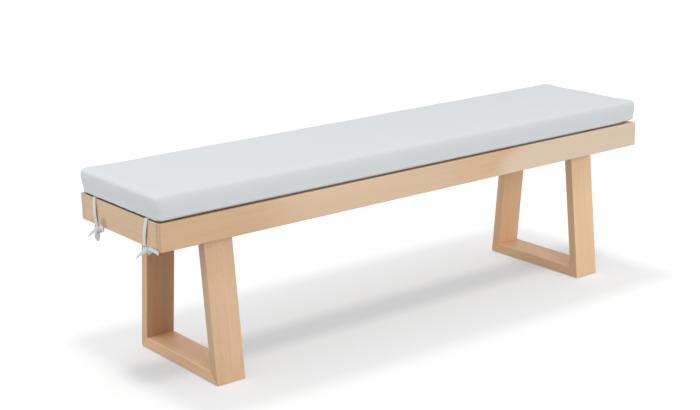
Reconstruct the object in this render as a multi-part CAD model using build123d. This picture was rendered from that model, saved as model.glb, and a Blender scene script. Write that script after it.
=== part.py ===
from build123d import *
from math import cos, hypot, radians, sin
import os

# Patio bench: a doweled wooden seat frame with a slatted deck, two trapezoid leg frames and a tied-on cushion.
# Millimetres. X runs along the bench, -Y is the front, +Z is up, and the origin is on the floor below the middle.

# Seat frame
bench_length = 1500.0
bench_depth = 350.0
frame_top = 405.0
rail_height = 63.0
rail_thickness = 18.0
arris = 2.0
end_bevel = 1.0

# Corner blocks and dowels of the seat frame
corner_block_leg = 24.0
corner_block_height = 44.0
corner_dowel_spread = 44.0

# Deck
slat_count = 5
slat_thickness = 15.0
slat_gap = 6.0
slat_end_gap = 8.0
bearer_thickness = 22.0
narrow_bearer_width = 45.0
end_bearer_gap = 4.0

# Leg frames
leg_setback = 130.5
leg_width = 76.0
leg_thickness = 24.5
foot_rail_thickness = 26.0
top_rail_thickness = 26.0
foot_inset = 8.0
leg_top_inset = 42.5

# Floor glides
glide_diameter = 24.0
glide_thickness = 4.0
glide_proud = 1.5
glide_inset = 45.0
glide_pin_diameter = 3.0
glide_pin_length = 12.0
glide_clearance = 0.3

# Dowels
dowel_diameter = 8.0
dowel_clearance = 0.2
dowel_end_gap = 1.0
dowel_edge = 18.0
mitre_dowel_length = 24.0
butt_dowel_in_leg = 16.0
butt_dowel_in_rail = 12.0
butt_dowel_in_end = 20.0
narrow_dowel_edge = 12.0

# Leg bolts, washers and threaded inserts
bolt_diameter = 8.0
bolt_length = 35.0
bolt_head_diameter = 14.0
bolt_head_height = 4.4
bolt_socket = 5.0
bolt_socket_depth = 2.5
bolt_edge = 16.5
bolt_inset = 31.4
bolt_hole_clearance = 0.6
washer_diameter = 18.0
washer_thickness = 1.6
washer_clearance = 0.4
counterbore_clearance = 2.0
bolt_recess = 0.5
insert_diameter = 12.0
insert_length = 16.0
insert_clearance = 0.2
insert_end_gap = 2.0

# Wood screws
screw_diameter = 4.0
screw_head_diameter = 8.0
screw_head_height = 2.6
screw_clearance = 0.2
screw_end_gap = 0.5
slat_screw_length = 32.0
block_screw_length = 24.0
block_screw_rise = 16.0
block_screw_side = 8.0
block_screw_seat = 11.0

# Cushion
cushion_height = 62.0
cushion_end_overhang = 4.0
cushion_side_inset = 4.5
cushion_rest_gap = 0.3
cushion_base_round = 9.0
cushion_base_slant = 2.5
cushion_widest = 38.0
cushion_edge_round = 13.0
cushion_crown = 1.5
cushion_top_flat = 121.0
cushion_corner_radius = 12.0
cushion_draw = 3.0
cushion_flare = 80.0
cover_wall = 1.5
foam_gap = 0.3

# Zip on the back edge of the cover
zip_length = 1000.0
zip_tape_height = 24.0
zip_tape_thickness = 0.7
zip_tape_end = 15.0
zip_gap = 0.3
zip_chain_height = 6.0
zip_chain_thickness = 1.6
zip_stop_length = 4.0
zip_stop_proud = 0.8
slider_length = 15.0
slider_wall = 1.0
slider_gap = 0.3
slider_lug_height = 3.6
slider_lug_length = 6.0
slider_pin_diameter = 1.2
pull_width = 5.0
pull_length = 26.0
pull_thickness = 1.2
pull_gap = 0.3

# Ties
tape_width = 12.0
tape_thickness = 1.2
tape_gap = 0.3
tape_top_length = 4.0
front_tie_from_front = 65.0
back_tie_from_back = 69.0
knot_width = 15.0
knot_depth = 13.0
knot_height = 14.0
knot_round = 4.0
tail_bend = 6.0

# Places that follow from the sizes above
rail_bottom = frame_top - rail_height
slat_bottom = frame_top - slat_thickness
bearer_bottom = slat_bottom - bearer_thickness
top_rail_bottom = bearer_bottom - top_rail_thickness
foot_bottom = glide_proud
foot_top = foot_bottom + foot_rail_thickness
inner_length = bench_length - 2 * rail_thickness
inner_depth = bench_depth - 2 * rail_thickness
slat_width = (inner_depth - (slat_count + 1) * slat_gap) / slat_count
slat_pitch = slat_width + slat_gap
slat_length = inner_length - 2 * slat_end_gap
leg_x = bench_length / 2 - leg_setback - leg_width / 2
foot_depth = bench_depth - 2 * foot_inset
leg_top_depth = bench_depth - 2 * leg_top_inset
end_bearer_x = inner_length / 2 - corner_block_leg - end_bearer_gap - narrow_bearer_width / 2
cushion_length = bench_length + 2 * cushion_end_overhang
cushion_depth = bench_depth - 2 * cushion_side_inset
cushion_bottom = frame_top + cushion_rest_gap

# Lean of the legs: sideways run for each millimetre of height
lean = (foot_depth - leg_top_depth) / 2 / (rail_bottom - foot_bottom)
lean_length = hypot(1, lean)
leg_level_thickness = leg_thickness * lean_length

parts = {}


def keep_side(solid, point, normal):
    """The part of a solid on the side of a plane that its normal points to."""
    return split(solid, bisect_by=Plane(origin=point, z_dir=normal), keep=Keep.TOP)


def board(length, width, thickness):
    """A board along X with rounded long edges: thickness along Y, width along Z."""
    return extrude(Plane.YZ * RectangleRounded(thickness, width, arris), amount=length / 2, both=True)


def flat_board(length, width, thickness):
    """A board along Y that lies flat: width along X, thickness along Z."""
    return Rot(0, 0, 90) * Rot(90, 0, 0) * board(length, width, thickness)


def rod(middle, direction, diameter, length):
    """A round rod centred on a point."""
    return Plane(origin=middle, z_dir=direction) * Cylinder(diameter / 2, length)


def dowel_pair(middle, direction, length):
    """A dowel and the longer, wider hole that it is glued into."""
    dowel = rod(middle, direction, dowel_diameter, length)
    hole = rod(middle, direction, dowel_diameter + dowel_clearance, length + 2 * dowel_end_gap)
    return dowel, hole


def screw_pair(head, direction, length):
    """A countersunk screw driven from its head's face, and the hole that it sits in."""
    place = Plane(origin=head, z_dir=direction)
    up = (Align.CENTER, Align.CENTER, Align.MIN)
    bodies = []
    for room in (0, screw_clearance):
        shank_length = length + (screw_end_gap if room else 0)
        shank = Cylinder((screw_diameter + room) / 2, shank_length, align=up)
        cone = Cone((screw_head_diameter + room) / 2, (screw_diameter + room) / 2, screw_head_height, align=up)
        bodies.append(place * (shank + cone))
    return bodies


def cut_all(solid, holes):
    """A solid with a list of holes taken out."""
    for hole in holes:
        solid = solid - hole
    return solid


def group(solids):
    """Separate solids in one node."""
    return Compound(children=[solid.solid() for solid in solids])


def seat_rails():
    """The four rails of the seat frame, by name: the end rails stand between the front and the back rail."""
    middle = frame_top - rail_height / 2
    rails = {}
    for name, side in (("front_rail", -1), ("back_rail", 1)):
        rail = Pos(0, side * (bench_depth - rail_thickness) / 2, middle) * board(
            bench_length, rail_height, rail_thickness)
        ends = rail.faces().sort_by(Axis.X)
        rails[name] = chamfer(ends[0].edges() + ends[-1].edges(), end_bevel)
    for name, end in (("left_end_rail", -1), ("right_end_rail", 1)):
        rails[name] = Pos(end * (bench_length - rail_thickness) / 2, 0, middle) * Rot(0, 0, 90) * board(
            inner_depth, rail_height, rail_thickness)
    return rails


def corner_joint(end, side):
    """One corner's dowels, block and screws, with the holes for them."""
    middle = (
        end * (bench_length - rail_thickness) / 2,
        side * (inner_depth + butt_dowel_in_rail - butt_dowel_in_end) / 2,
        frame_top - rail_height / 2)
    dowels = []
    for step in (-corner_dowel_spread / 2, corner_dowel_spread / 2):
        place = (middle[0], middle[1], middle[2] + step)
        dowels.append(dowel_pair(place, (0, 1, 0), butt_dowel_in_rail + butt_dowel_in_end))
    inner = (end * inner_length / 2, side * inner_depth / 2)
    triangle = Polyline(
        inner,
        (inner[0] - end * corner_block_leg, inner[1]),
        (inner[0], inner[1] - side * corner_block_leg),
        close=True)
    block_bottom = slat_bottom - corner_block_height
    block = extrude(Pos(0, 0, block_bottom) * make_face(triangle), amount=corner_block_height, dir=(0, 0, 1))
    screws = []
    for rise, into_x, into_y in ((block_screw_rise, end, 0), (corner_block_height - block_screw_rise, 0, side)):
        back_x = block_screw_seat if into_x else block_screw_side
        back_y = block_screw_seat if into_y else block_screw_side
        head = (inner[0] - end * back_x, inner[1] - side * back_y, block_bottom + rise)
        screw, hole = screw_pair(head, (into_x, into_y, 0), block_screw_length)
        pocket = Plane(origin=head, z_dir=(-into_x, -into_y, 0)) * Cylinder(
            (screw_head_diameter + screw_clearance) / 2, corner_block_leg,
            align=(Align.CENTER, Align.CENTER, Align.MIN))
        screws.append((screw, hole))
        block = block - pocket
    return dowels, block, screws


def bearer_places():
    """Each bearer's name, middle along X and width."""
    return (
        ("left_end_bearer", -end_bearer_x, narrow_bearer_width),
        ("left_leg_bearer", -leg_x, leg_width),
        ("centre_bearer", 0, narrow_bearer_width),
        ("right_leg_bearer", leg_x, leg_width),
        ("right_end_bearer", end_bearer_x, narrow_bearer_width),
    )


def slat_y(index):
    """The middle of a slat across the bench, counted from the front."""
    return (index - (slat_count - 1) / 2) * slat_pitch


def leg_outer_y(z):
    """How far from the middle a leg's outer face is at a height."""
    return foot_depth / 2 - lean * (z - foot_bottom)


def mitre_line():
    """The outer and inner corner of a leg's mitre with the foot rail, as (y, z) on the back side."""
    inner_y = leg_outer_y(foot_top) - leg_level_thickness
    return (foot_depth / 2, foot_bottom), (inner_y, foot_top)


def leg_frame_blanks(x):
    """The two legs, foot rail and top rail of a leg frame, before any holes."""
    outer, inner = mitre_line()
    mitre_y, mitre_z = outer[1] - inner[1], inner[0] - outer[0]
    legs = {}
    foot = Pos(x, 0, (foot_bottom + foot_top) / 2) * flat_board(foot_depth, leg_width, foot_rail_thickness)
    top = Pos(x, 0, top_rail_bottom + top_rail_thickness / 2) * flat_board(
        leg_top_depth, leg_width, top_rail_thickness)
    for name, side in (("front", -1), ("back", 1)):
        up = (0, -side * lean, 1)
        start = (x, side * (foot_depth / 2 - leg_level_thickness / 2), foot_bottom)
        section = Plane(origin=start, x_dir=(1, 0, 0), z_dir=up) * RectangleRounded(leg_width, leg_thickness, arris)
        leg = extrude(section, amount=2 * foot_rail_thickness, dir=(0, side * lean, -1))
        leg = leg + extrude(section, amount=frame_top * lean_length, dir=up)
        leg = keep_side(leg, (0, 0, bearer_bottom), (0, 0, -1))
        corner = (0, side * outer[0], outer[1])
        leg = keep_side(leg, corner, (0, -side * mitre_y, -mitre_z))
        foot = keep_side(foot, corner, (0, side * mitre_y, mitre_z))
        face = (0, side * (leg_outer_y(top_rail_bottom) - leg_level_thickness), top_rail_bottom)
        top = keep_side(top, face, (0, -side, -lean))
        legs[name] = leg
    return legs, foot, top


def leg_dowels(x):
    """The dowels of one leg frame with their holes: those in the mitres and those in the top rail's ends."""
    outer, inner = mitre_line()
    middle_y, middle_z = (outer[0] + inner[0]) / 2, (outer[1] + inner[1]) / 2
    spread = leg_width / 2 - dowel_edge
    mitres, butts = [], []
    butt_z = top_rail_bottom + top_rail_thickness / 2
    butt_y = leg_outer_y(butt_z) - leg_level_thickness + (butt_dowel_in_leg - butt_dowel_in_end) / 2
    for side in (-1, 1):
        across = (0, side * (inner[1] - outer[1]), outer[0] - inner[0])
        for step in (-spread, spread):
            mitres.append(dowel_pair((x + step, side * middle_y, middle_z), across, mitre_dowel_length))
            butts.append(dowel_pair(
                (x + step, side * butt_y, butt_z), (0, 1, 0), butt_dowel_in_leg + butt_dowel_in_end))
    return mitres, butts


def leg_bolts(x):
    """One leg frame's bolts, washers and inserts, and what is cut for them in the top rail and the bearer."""
    up = (Align.CENTER, Align.CENTER, Align.MIN)
    down = (Align.CENTER, Align.CENTER, Align.MAX)
    recess = bolt_head_height + washer_thickness + bolt_recess
    reach = leg_outer_y(top_rail_bottom) - leg_level_thickness - bolt_inset
    bolts, washers, inserts, rail_cuts, bearer_cuts = [], [], [], [], []
    for step_x in (bolt_edge - leg_width / 2, leg_width / 2 - bolt_edge):
        for y in (-reach, reach):
            seat = Pos(x + step_x, y, top_rail_bottom + recess)
            under_washer = seat * Pos(0, 0, -washer_thickness)
            head = Cylinder(bolt_head_diameter / 2, bolt_head_height, align=down)
            head = fillet(head.edges().sort_by(Axis.Z)[0], bolt_head_height / 2)
            shank = Cylinder(bolt_diameter / 2, bolt_length, align=up)
            key = extrude(Pos(0, 0, -bolt_head_height) * RegularPolygon(
                bolt_socket / 2, 6, major_radius=False), amount=bolt_socket_depth)
            bolts.append(under_washer * (head + shank - key))
            ring = Cylinder(washer_diameter / 2, washer_thickness, align=down)
            ring = ring - Cylinder((bolt_diameter + washer_clearance) / 2, washer_thickness, align=down)
            washers.append(seat * ring)
            rail_cuts.append(seat * Cylinder((washer_diameter + counterbore_clearance) / 2, recess, align=down))
            rail_cuts.append(seat * Cylinder(
                (bolt_diameter + bolt_hole_clearance) / 2, top_rail_thickness, align=up))
            foot = Pos(x + step_x, y, bearer_bottom)
            sleeve = Cylinder(insert_diameter / 2, insert_length, align=up)
            sleeve = sleeve - Cylinder((bolt_diameter + insert_clearance) / 2, insert_length, align=up)
            inserts.append(foot * sleeve)
            bearer_cuts.append(foot * Cylinder(
                (insert_diameter + insert_clearance) / 2, insert_length + insert_end_gap, align=up))
    return bolts, washers, inserts, rail_cuts, bearer_cuts


def glide(x, y):
    """A floor glide with its pin, and the recess that it is driven into."""
    up = (Align.CENTER, Align.CENTER, Align.MIN)
    disc = Cylinder(glide_diameter / 2, glide_thickness, align=up)
    disc = fillet(disc.edges().sort_by(Axis.Z)[0], glide_proud / 2)
    pin = Pos(0, 0, glide_thickness) * Cylinder(glide_pin_diameter / 2, glide_pin_length, align=up)
    recess = Cylinder((glide_diameter + glide_clearance) / 2, glide_thickness, align=up)
    bore = Pos(0, 0, glide_thickness) * Cylinder(
        (glide_pin_diameter + glide_clearance) / 2, glide_pin_length + glide_clearance, align=up)
    return Pos(x, y, 0) * (disc + pin), Pos(x, y, 0) * (recess + bore)


def cushion_outline(inset, height):
    """A level section of the cushion: straight sides that flare out to rounded corners."""
    half_x, half_y = cushion_length / 2 - inset, cushion_depth / 2 - inset
    flare = cushion_flare * half_y / (cushion_depth / 2)
    turn = cushion_corner_radius
    bend = turn * (1 - cos(radians(45)))
    edges = []
    for quarter in range(4):
        out, along = (half_y, half_x) if quarter % 2 == 0 else (half_x, half_y)
        ear = along - turn
        run = ear - flare
        mid = ear - flare / 2
        drawn = out - cushion_draw
        half_drawn = out - cushion_draw * 3 / 4
        fall = ThreePointArc((-ear, -out), (-mid, -half_drawn), (-run, -drawn))
        side = Line((-run, -drawn), (run, -drawn))
        rise = ThreePointArc((run, -drawn), (mid, -half_drawn), (ear, -out))
        corner = ThreePointArc((ear, -out), (along - bend, bend - out), (along, turn - out))
        edges += [Rot(0, 0, 90 * quarter) * edge for edge in (fall, side, rise, corner)]
    return Pos(0, 0, height) * make_face(Wire(edges))


def cushion_form(shrink):
    """The cushion's form, drawn in all over by a wall: flat below, round-edged and crowned on top."""
    edge_height = cushion_height - cushion_crown
    crown_run = (cushion_depth - cushion_top_flat) / 2
    lower = [(cushion_base_slant + cushion_base_round * (1 - sin(radians(turn))),
              cushion_base_round * (1 - cos(radians(turn))))
             for turn in (0, 45, 90)]
    upper = [(cushion_edge_round * (1 - cos(radians(turn))),
              cushion_widest + (edge_height - cushion_widest) * sin(radians(turn)))
             for turn in (0, 30, 60, 80)]
    crown = [(cushion_edge_round + (crown_run - cushion_edge_round) * share,
              edge_height + cushion_crown * (1 - (1 - share) ** 2))
             for share in (0.25, 0.6, 1.0)]
    squeeze = (cushion_height - 2 * shrink) / cushion_height
    halves = []
    for profile in (lower + upper, upper[-1:] + crown):
        halves.append(loft([cushion_outline(inset + shrink, cushion_bottom + shrink + squeeze * height)
                            for inset, height in profile]))
    return halves[0] + halves[1]


def zip_pieces():
    """The zip's tape, chain, stops, slider and pull on the straight back edge of the cover."""
    back = cushion_depth / 2 - cushion_draw + zip_gap
    height = cushion_bottom + cushion_widest
    out = (Align.CENTER, Align.MIN, Align.CENTER)
    chain_back = back + zip_tape_thickness
    chain_face = chain_back + zip_chain_thickness
    tape = Pos(0, back, height) * Box(
        zip_length + 2 * zip_tape_end, zip_tape_thickness, zip_tape_height, align=out)
    chain = Pos(0, chain_back, height) * Box(zip_length, zip_chain_thickness, zip_chain_height, align=out)
    stops = []
    for end in (-1, 1):
        place = Pos(end * (zip_length + zip_stop_length) / 2, chain_back, height)
        stops.append(place * Box(
            zip_stop_length, zip_chain_thickness + zip_stop_proud, zip_chain_height, align=out))
    slider_x = (zip_length - slider_length) / 2 - slider_gap
    plate_back = chain_face + slider_gap
    plate_face = plate_back + slider_wall
    slider_height = zip_chain_height + 2 * (slider_gap + slider_wall)
    body = Pos(slider_x, chain_back + slider_gap, height) * Box(
        slider_length, plate_face - chain_back - slider_gap, slider_height, align=out)
    body = fillet(body.edges().filter_by(Axis.Y), slider_wall)
    channel = Pos(slider_x, chain_back, height) * Box(
        slider_length, zip_chain_thickness + slider_gap, zip_chain_height + 2 * slider_gap, align=out)
    lug_thickness = (slider_height - pull_width - 2 * pull_gap) / 2
    pin_y = plate_face + slider_lug_height / 2
    slider = body - channel
    for side in (-1, 1):
        lug_z = height + side * (slider_height - lug_thickness) / 2
        slider = slider + Pos(slider_x, plate_face, lug_z) * Box(
            slider_lug_length, slider_lug_height, lug_thickness, align=out)
    slider = slider + rod((slider_x, pin_y, height), (0, 0, 1), slider_pin_diameter, slider_height)
    eye_diameter = slider_pin_diameter + 2 * (pull_gap + pull_thickness / 2)
    pull = rod((slider_x, pin_y, height), (0, 0, 1), eye_diameter, pull_width)
    tab = Pos(slider_x - pull_length / 2, pin_y, height) * Box(pull_length, pull_thickness, pull_width)
    pull = pull + fillet(tab.edges().filter_by(Axis.Y).sort_by(Axis.X)[:2], pull_width / 3)
    pull = pull - rod((slider_x, pin_y, height), (0, 0, 1), slider_pin_diameter + 2 * pull_gap, pull_width)
    return tape, chain, stops, slider, pull


def tail(x, points):
    """A free end of tape: a bent strip through points across and up, as wide along X as the tape."""
    line = FilletPolyline(*points, radius=tail_bend)
    strip = extrude(Plane.YZ * trace(line, tape_thickness), amount=tape_width / 2, both=True)
    return Pos(x, 0, 0) * strip


def tie(y, tails):
    """A tie of the left end: the tape round the end rail, the knot below it and the tape's free ends."""
    grow = tape_gap + tape_thickness
    rail_x = -(bench_length - rail_thickness) / 2
    rail_z = frame_top - rail_height / 2
    loop = RectangleRounded(rail_thickness + 2 * grow, rail_height + 2 * grow, arris + grow)
    loop = loop - RectangleRounded(rail_thickness + 2 * tape_gap, rail_height + 2 * tape_gap, arris + tape_gap)
    open_width = rail_thickness + 2 * grow - tape_top_length - grow
    top_cut = Pos((tape_top_length + grow) / 2, (rail_height + grow) / 2 + tape_gap / 2) * Rectangle(
        open_width, grow + tape_gap)
    band = extrude(Plane.XZ * (loop - top_cut), amount=tape_width / 2, both=True)
    knot_x = -bench_length / 2 + knot_depth / 2 - grow
    knot_top = rail_bottom - grow
    knot = Box(knot_depth, knot_width, knot_height, align=(Align.CENTER, Align.CENTER, Align.MAX))
    knot = fillet(knot.edges().filter_by(Axis.Z, reverse=True).sort_by(Axis.Z)[:4], knot_round)
    whole = Pos(rail_x, y, rail_z) * band + Pos(knot_x, y, knot_top) * knot
    for points in tails:
        whole = whole + tail(knot_x, [(y + across, knot_top - knot_height / 2 + up) for across, up in points])
    return whole


rails = seat_rails()
rail_holes = {name: [] for name in rails}
corner_dowels, block_screws = [], []
for end_name, end in (("left", -1), ("right", 1)):
    for side_name, side in (("front", -1), ("back", 1)):
        dowels, block, screws = corner_joint(end, side)
        corner_dowels += [dowel for dowel, hole in dowels]
        block_screws += [screw for screw, hole in screws]
        holes = [hole for screw, hole in screws]
        parts[f"{side_name}_{end_name}_corner_block"] = cut_all(block, holes)
        holes += [hole for dowel, hole in dowels]
        rail_holes[f"{side_name}_rail"] += holes
        rail_holes[f"{end_name}_end_rail"] += holes
parts["corner_dowels"] = group(corner_dowels)
parts["corner_block_screws"] = group(block_screws)

slats = {}
for index in range(slat_count):
    slat = Pos(0, slat_y(index), slat_bottom + slat_thickness / 2) * board(slat_length, slat_thickness, slat_width)
    slats[f"slat_{index + 1}"] = slat

bearers, bearer_dowels, slat_screws = {}, [], []
for name, x, width in bearer_places():
    bearer = Pos(x, 0, bearer_bottom + bearer_thickness / 2) * flat_board(inner_depth, width, bearer_thickness)
    spread = width / 2 - narrow_dowel_edge
    for side, rail_name in ((-1, "front_rail"), (1, "back_rail")):
        for step in (-spread, spread):
            y = side * (inner_depth / 2 + (butt_dowel_in_rail - butt_dowel_in_end) / 2)
            dowel, hole = dowel_pair(
                (x + step, y, bearer_bottom + bearer_thickness / 2), (0, 1, 0),
                butt_dowel_in_rail + butt_dowel_in_end)
            bearer_dowels.append(dowel)
            bearer = bearer - hole
            rail_holes[rail_name].append(hole)
    for index in range(slat_count):
        for step in (-slat_width / 4, slat_width / 4):
            screw, hole = screw_pair((x, slat_y(index) + step, bearer_bottom), (0, 0, 1), slat_screw_length)
            slat_screws.append(screw)
            bearer = bearer - hole
            slats[f"slat_{index + 1}"] = slats[f"slat_{index + 1}"] - hole
    bearers[name] = bearer
parts["bearer_dowels"] = group(bearer_dowels)
parts["slat_screws"] = group(slat_screws)
parts.update(slats)

mitre_dowels, top_rail_dowels, bolts, washers, inserts = [], [], [], [], []
for end_name, x in (("left", -leg_x), ("right", leg_x)):
    legs, foot, top = leg_frame_blanks(x)
    mitres, butts = leg_dowels(x)
    mitre_holes = [hole for dowel, hole in mitres]
    butt_holes = [hole for dowel, hole in butts]
    mitre_dowels += [dowel for dowel, hole in mitres]
    top_rail_dowels += [dowel for dowel, hole in butts]
    frame_bolts, frame_washers, frame_inserts, rail_cuts, bearer_cuts = leg_bolts(x)
    bolts += frame_bolts
    washers += frame_washers
    inserts += frame_inserts
    for side_name, side in (("front", -1), ("back", 1)):
        foot_glide, recess = glide(x, side * (foot_depth / 2 - glide_inset))
        parts[f"{end_name}_{side_name}_glide"] = foot_glide
        foot = foot - recess
        parts[f"{end_name}_{side_name}_leg"] = cut_all(legs[side_name], mitre_holes + butt_holes)
    parts[f"{end_name}_foot_rail"] = cut_all(foot, mitre_holes)
    parts[f"{end_name}_top_rail"] = cut_all(top, butt_holes + rail_cuts)
    bearers[f"{end_name}_leg_bearer"] = cut_all(bearers[f"{end_name}_leg_bearer"], bearer_cuts)
parts["mitre_dowels"] = group(mitre_dowels)
parts["top_rail_dowels"] = group(top_rail_dowels)
parts["leg_bolts"] = group(bolts)
parts["bolt_washers"] = group(washers)
parts["threaded_inserts"] = group(inserts)
parts.update(bearers)
for name, rail in rails.items():
    parts[name] = cut_all(rail, rail_holes[name])

parts["cushion_cover"] = cushion_form(0) - cushion_form(cover_wall)
parts["foam_core"] = cushion_form(cover_wall + foam_gap)
zip_tape, zip_chain, zip_stops, zip_slider, zip_pull = zip_pieces()
parts["zip_tape"] = zip_tape
parts["zip_chain"] = zip_chain
parts["zip_stops"] = group(zip_stops)
parts["zip_slider"] = zip_slider
parts["zip_pull"] = zip_pull

# Free ends of each tie, from the middle of its knot: across the bench (-Y is the front) and up
front_tails = (
    ((0, 2), (-22, 2), (-44, -2)),
    ((0, -3), (18, -8), (42, -26)),
)
back_tails = (
    ((0, -2), (20, -7), (45, -26)),
    ((0, -4), (4, -14), (3, -28)),
    ((0, 1), (-11, 1), (-22, -3)),
)
right_front_tails = (
    ((0, 2), (22, 2), (44, -2)),
    ((0, -3), (18, -7), (40, -13)),
)
front_tie_y = front_tie_from_front - bench_depth / 2
back_tie_y = bench_depth / 2 - back_tie_from_back
parts["left_front_tie"] = tie(front_tie_y, front_tails)
parts["left_back_tie"] = tie(back_tie_y, back_tails)
parts["right_front_tie"] = mirror(tie(front_tie_y, right_front_tails), about=Plane.YZ)
parts["right_back_tie"] = mirror(parts["left_back_tie"], about=Plane.YZ)

os.makedirs("parts", exist_ok=True)
for name, shape in parts.items():
    export_step(shape, f"parts/{name}.step")
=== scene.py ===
import math

import bmesh
import bpy
from bpy.props import FloatProperty, FloatVectorProperty, IntProperty, PointerProperty
from bpy.types import Operator, Panel, PropertyGroup
from mathutils import Matrix, Vector, noise
from mathutils.bvhtree import BVHTree


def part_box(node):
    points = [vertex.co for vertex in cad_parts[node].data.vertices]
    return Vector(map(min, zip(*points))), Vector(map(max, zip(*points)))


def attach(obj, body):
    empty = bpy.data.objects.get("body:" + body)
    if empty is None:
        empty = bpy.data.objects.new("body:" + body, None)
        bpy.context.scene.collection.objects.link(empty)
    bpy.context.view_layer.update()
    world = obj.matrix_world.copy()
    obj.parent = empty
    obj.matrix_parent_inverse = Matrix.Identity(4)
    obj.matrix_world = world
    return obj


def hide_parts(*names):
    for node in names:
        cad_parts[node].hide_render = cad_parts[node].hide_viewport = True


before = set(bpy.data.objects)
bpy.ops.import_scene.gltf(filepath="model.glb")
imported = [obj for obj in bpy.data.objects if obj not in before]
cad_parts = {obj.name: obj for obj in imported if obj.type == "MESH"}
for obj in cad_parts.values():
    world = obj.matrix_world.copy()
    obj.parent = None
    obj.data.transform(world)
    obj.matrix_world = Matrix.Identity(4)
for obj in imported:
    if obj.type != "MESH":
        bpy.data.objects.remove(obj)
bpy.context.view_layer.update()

bl_info = {
    "name": "Patio bench dresser",
    "version": (1, 0, 0),
    "blender": (4, 5, 0),
    "location": "3D View > Sidebar > Bench",
    "description": "Dresses the patio bench: wood, hardware, cushion, ties, zip and studio",
    "category": "Object",
}

MM = 0.001
BODY = "bench"
QUARTER = math.pi / 2

cover_low, cover_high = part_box("cushion_cover")
cover_half = (cover_high - cover_low) / 2
cover_middle = (cover_low + cover_high) / 2
cover_height = cover_high.z - cover_low.z
base_middle = Vector((cover_middle.x, cover_middle.y, cover_low.z))
rail_low, rail_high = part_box("left_end_rail")
frame_top = rail_high.z

# Boards by the way their grain runs
LENGTHWISE = ("front_rail", "back_rail", "slat_1", "slat_2", "slat_3", "slat_4", "slat_5")
CROSSWISE = (
    "left_end_rail", "right_end_rail",
    "left_end_bearer", "left_leg_bearer", "centre_bearer", "right_leg_bearer", "right_end_bearer",
    "left_foot_rail", "right_foot_rail", "left_top_rail", "right_top_rail",
    "bearer_dowels", "top_rail_dowels", "corner_dowels",
)
FRONT_LEGS = ("left_front_leg", "right_front_leg")
BACK_LEGS = ("left_back_leg", "right_back_leg")
UPRIGHT = (
    "front_left_corner_block", "front_right_corner_block",
    "back_left_corner_block", "back_right_corner_block", "mitre_dowels",
)
STEEL = ("corner_block_screws", "slat_screws", "leg_bolts", "bolt_washers")
GLIDES = ("left_front_glide", "left_back_glide", "right_front_glide", "right_back_glide")
ZIP_METAL = ("zip_slider", "zip_pull")

# Boards that are paler or deeper than the rest, as shares of the plain colour: partly each board's own tone
# and partly painted light and shade: foot rails and right legs painted lighter, left back leg painted darker
# for shade under the seat
BOARD_TONES_AND_LIGHT = {
    "front_rail": (0.98, 0.96, 0.93),
    "left_end_rail": (0.92, 0.95, 0.92),
    "left_foot_rail": (1.24, 1.22, 1.20),
    "right_foot_rail": (1.18, 1.16, 1.13),
    "left_front_leg": (1.00, 0.98, 0.96),
    "left_back_leg": (0.95, 0.85, 0.76),
    "right_front_leg": (1.16, 1.15, 1.12),
    "right_back_leg": (1.12, 1.06, 0.98),
}
PLAIN_TONE = (1.0, 1.0, 1.0)
# Boards whose faces that look along the bench get painted shade
SIDE_SHADED = ("left_front_leg", "right_front_leg", "right_back_leg", "left_foot_rail", "right_foot_rail")
# Boards whose tops get the cushion's painted contact shadow
CUSHION_SHADOWED = LENGTHWISE + ("left_end_rail", "right_end_rail")


# Kinds of settings


def a_colour(name, description, default):
    """A colour setting."""
    return FloatVectorProperty(
        name=name, description=description, subtype="COLOR", default=default, min=0, max=1)


def a_length(name, description, millimetres):
    """A length setting."""
    return FloatProperty(name=name, description=description, unit="LENGTH", default=millimetres * MM)


def an_angle(name, description, degrees):
    """An angle setting."""
    return FloatProperty(name=name, description=description, subtype="ANGLE", default=math.radians(degrees))


def a_place(name, description, default):
    """A setting for a place, in metres."""
    return FloatVectorProperty(
        name=name, description=description, subtype="XYZ", unit="LENGTH", default=default)


def a_number(name, description, default):
    """A plain setting from 0 upwards."""
    return FloatProperty(name=name, description=description, default=default, min=0)


class BenchWoodSettings(PropertyGroup):
    """The finish of the boards."""
    light_tone: a_colour("Light tone", "Colour of the pale wood between the rings", (0.735, 0.505, 0.315))
    dark_tone: a_colour("Dark tone", "Colour of the late wood and the streaks", (0.58, 0.36, 0.20))
    end_tone: a_colour("End grain tone", "What the sawn ends keep of the colour", (0.88, 0.91, 0.93))
    # The front rail's stretch toward its right end that is paler and less saturated, and where it starts
    pale_tone: a_colour("Pale tone", "Colour of the bleached stretch of the front rail", (0.72, 0.59, 0.46))
    pale_start: a_length("Pale start", "Where the bleached stretch of the front rail starts", 235)
    deep_tone: a_colour(
        "Deep tone", "What the left end of the front rail keeps of the colour", (0.91, 0.90, 0.87))
    # Painted shade on the faces of the legs and feet that look along the bench, under the seat's overhang
    side_shade_tone: a_colour(
        "Edge tone", "What the narrow faces of the legs and feet keep of the colour", (0.84, 0.82, 0.80))
    # Painted shade on the inner face of the left back leg, shaded by the front leg and the seat
    inner_shade_tone: a_colour(
        "Inner tone", "What the inner face of the left back leg keeps of the colour", (0.72, 0.65, 0.61))
    # Painted shadow under the cushion: what the tops keep of the colour, and how far short of the right end
    # it stops
    cushion_shadow_tone: a_colour(
        "Covered tone", "What the unbleached wood under the cushion keeps of the colour", (0.42, 0.38, 0.36))
    unshadowed_end: a_length("Bare end", "How far from its right end the cushion leaves the wood bleached", 40)
    ring_pitch: a_length("Ring pitch", "Distance from one growth ring to the next", 4.6)
    leg_lean: an_angle("Leg lean", "How far the legs lean from upright", 5.79)
    # A small dark brown spot on the left end rail, with a ragged edge and rings
    spot_tone: a_colour("Knot tone", "Colour of the small knot in the left end rail", (0.26, 0.13, 0.055))
    spot_place: a_place("Knot place", "Middle of the small knot on the left end rail", (-0.750, 0.073, 0.352))
    spot_radius: a_length("Knot radius", "Reach of the small knot", 17)


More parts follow.
